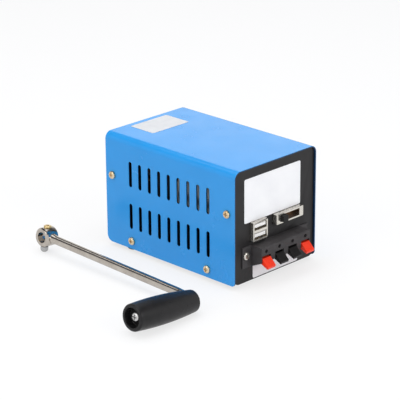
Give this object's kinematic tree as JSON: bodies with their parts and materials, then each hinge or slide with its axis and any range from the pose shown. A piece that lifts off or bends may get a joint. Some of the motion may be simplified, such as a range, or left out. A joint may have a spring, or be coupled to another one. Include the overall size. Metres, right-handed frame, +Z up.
{
  "type": "hand crank charger",
  "caption": "Bench-top hand crank phone charger: vented sheet-metal cabinet with a geared generator, USB sockets, slide switch, spring terminal and a detached crank.",
  "frame": {"origin": "on the table, under the middle of the bounding box of the cabinet and the crank that lies beside it", "axes": "+X to the right seen from the front, the front panel faces -Y, the drive shaft points to +Y, +Z up"},
  "size_m": [0.1872, 0.174, 0.0879],
  "materials": {
    "blue_enamel": "gloss enamel with fine orange peel",
    "black_enamel": "satin black enamel",
    "yellow_zinc": "yellow zinc plate",
    "foot_rubber": "matt",
    "blank_label": "blank, smooth",
    "black_moulding": "fine texture",
    "red_lever": "gloss",
    "black_lever": "gloss",
    "nickel_plate": "nickel plate",
    "bright_steel": "ground steel",
    "white_insulator": "smooth",
    "gold_contact": "gold flash",
    "brown_phenolic": "matt laminate",
    "black_knob": "matt",
    "tinned_pin": "tinned",
    "board_laminate": "solder mask",
    "brass_part": "turned",
    "capacitor_sleeve": "shrink sleeve",
    "dark_ferrite": "matt",
    "black_package": "moulded",
    "zinc_can": "zinc plate",
    "white_nylon": "moulded",
    "core_steel": "stacked sheet",
    "copper": "enamelled copper",
    "carbon": "carbon",
    "sintered_bronze": "sintered",
    "cast_alloy": "die cast",
    "black_nylon": "glass-filled, moulded",
    "gear_steel": "hobbed",
    "warm_nickel": "warm nickel plate, slightly dull",
    "set_screw_metal": "plated",
    "grip_plastic": "semi-gloss moulding"
  },
  "bodies": {
    "cabinet": {"cover": "blue_enamel", "chassis": "black_enamel", "side_screws": "yellow_zinc", "feet": "foot_rubber", "main_label": "blank_label", "lower_label": "blank_label", "top_label": "blank_label", "terminal_body": "black_moulding", "lever_rod": "bright_steel", "terminal_contacts": "nickel_plate", "lever_springs": "bright_steel", "terminal_screws": "nickel_plate", "usb_shell": "nickel_plate", "usb_insulator": "white_insulator", "usb_contacts": "gold_contact", "switch_frame": "nickel_plate", "switch_base": "brown_phenolic", "switch_pins": "tinned_pin", "circuit_board": "board_laminate", "board_pillars": "brass_part", "board_screws": "bright_steel", "capacitor": "capacitor_sleeve", "inductor": "dark_ferrite", "rectifier": "black_package", "regulator": "black_package", "generator_can": "zinc_can", "end_bell": "white_nylon", "magnets": "dark_ferrite", "brushes": "carbon", "rotor_bearings": "sintered_bronze", "gear_case": "black_nylon", "case_cover": "black_nylon", "case_screws": "bright_steel", "idler_axle": "bright_steel", "shaft_bearing": "sintered_bronze", "shaft_bush": "sintered_bronze", "generator_cradle": "cast_alloy", "base_screws": "bright_steel"},
    "rotor": {"rotor_shaft": "bright_steel", "rotor_core": "core_steel", "rotor_winding": "copper", "commutator": "copper", "rotor_pinion": "brass_part"},
    "idler": {"idler_gear": "gear_steel"},
    "drive": {"input_shaft": "bright_steel", "input_gear": "gear_steel"},
    "lever_a": {"lever_red_left": "red_lever"},
    "lever_b": {"lever_black_left": "black_lever"},
    "lever_c": {"lever_black_right": "black_lever"},
    "lever_d": {"lever_red_right": "red_lever"},
    "slider": {"switch_knob": "black_knob"},
    "crank": {"crank_hub": "warm_nickel", "crank_arm": "warm_nickel", "set_screws": "set_screw_metal", "grip_axle": "bright_steel", "grip_washer": "bright_steel"},
    "grip": {"grip": "grip_plastic"}
  },
  "joints": [
    {"name": "rotor_spin", "type": "hinge", "parent": "cabinet", "child": "rotor", "pos_m": [0.04971, -0.02706, 0.04659], "axis": [0, 1, 0], "continuous": true},
    {"name": "idler_spin", "type": "hinge", "parent": "cabinet", "child": "idler", "pos_m": [0.06021, 0.01494, 0.0284], "axis": [0, 1, 0], "continuous": true},
    {"name": "drive_spin", "type": "hinge", "parent": "cabinet", "child": "drive", "pos_m": [0.04971, 0.04294, 0.04659], "axis": [0, 1, 0], "continuous": true},
    {"name": "lever_press_a", "type": "hinge", "parent": "cabinet", "child": "lever_a", "pos_m": [0.02976, -0.07696, 0.0198], "axis": [1, 0, 0], "range_deg": [0, 12], "stiffness_Nm_per_rad": 0.05, "springref_deg": -5.73},
    {"name": "lever_press_b", "type": "hinge", "parent": "cabinet", "child": "lever_b", "pos_m": [0.04326, -0.07696, 0.0198], "axis": [1, 0, 0], "range_deg": [0, 12], "stiffness_Nm_per_rad": 0.05, "springref_deg": -5.73},
    {"name": "lever_press_c", "type": "hinge", "parent": "cabinet", "child": "lever_c", "pos_m": [0.05676, -0.07696, 0.0198], "axis": [1, 0, 0], "range_deg": [0, 12], "stiffness_Nm_per_rad": 0.05, "springref_deg": -5.73},
    {"name": "lever_press_d", "type": "hinge", "parent": "cabinet", "child": "lever_d", "pos_m": [0.07026, -0.07696, 0.0198], "axis": [1, 0, 0], "range_deg": [0, 12], "stiffness_Nm_per_rad": 0.05, "springref_deg": -5.73},
    {"name": "switch_slide", "type": "slide", "parent": "cabinet", "child": "slider", "axis": [1, 0, 0], "range_m": [0, 0.014]},
    {"name": "crank_lift", "type": "slide", "parent": "cabinet", "child": "crank", "axis": [0, 0, 1], "range_m": [0, 0.06]},
    {"name": "grip_spin", "type": "hinge", "parent": "crank", "child": "grip", "pos_m": [-0.03378, -0.07421, 0.00763], "axis": [-0.9952, -0.0025, 0.0976], "continuous": true}
  ],
  "couplings": [
    {"joint": "idler_spin", "follows": "rotor_spin", "ratio": -0.25},
    {"joint": "drive_spin", "follows": "rotor_spin", "ratio": 0.0625}
  ]
}
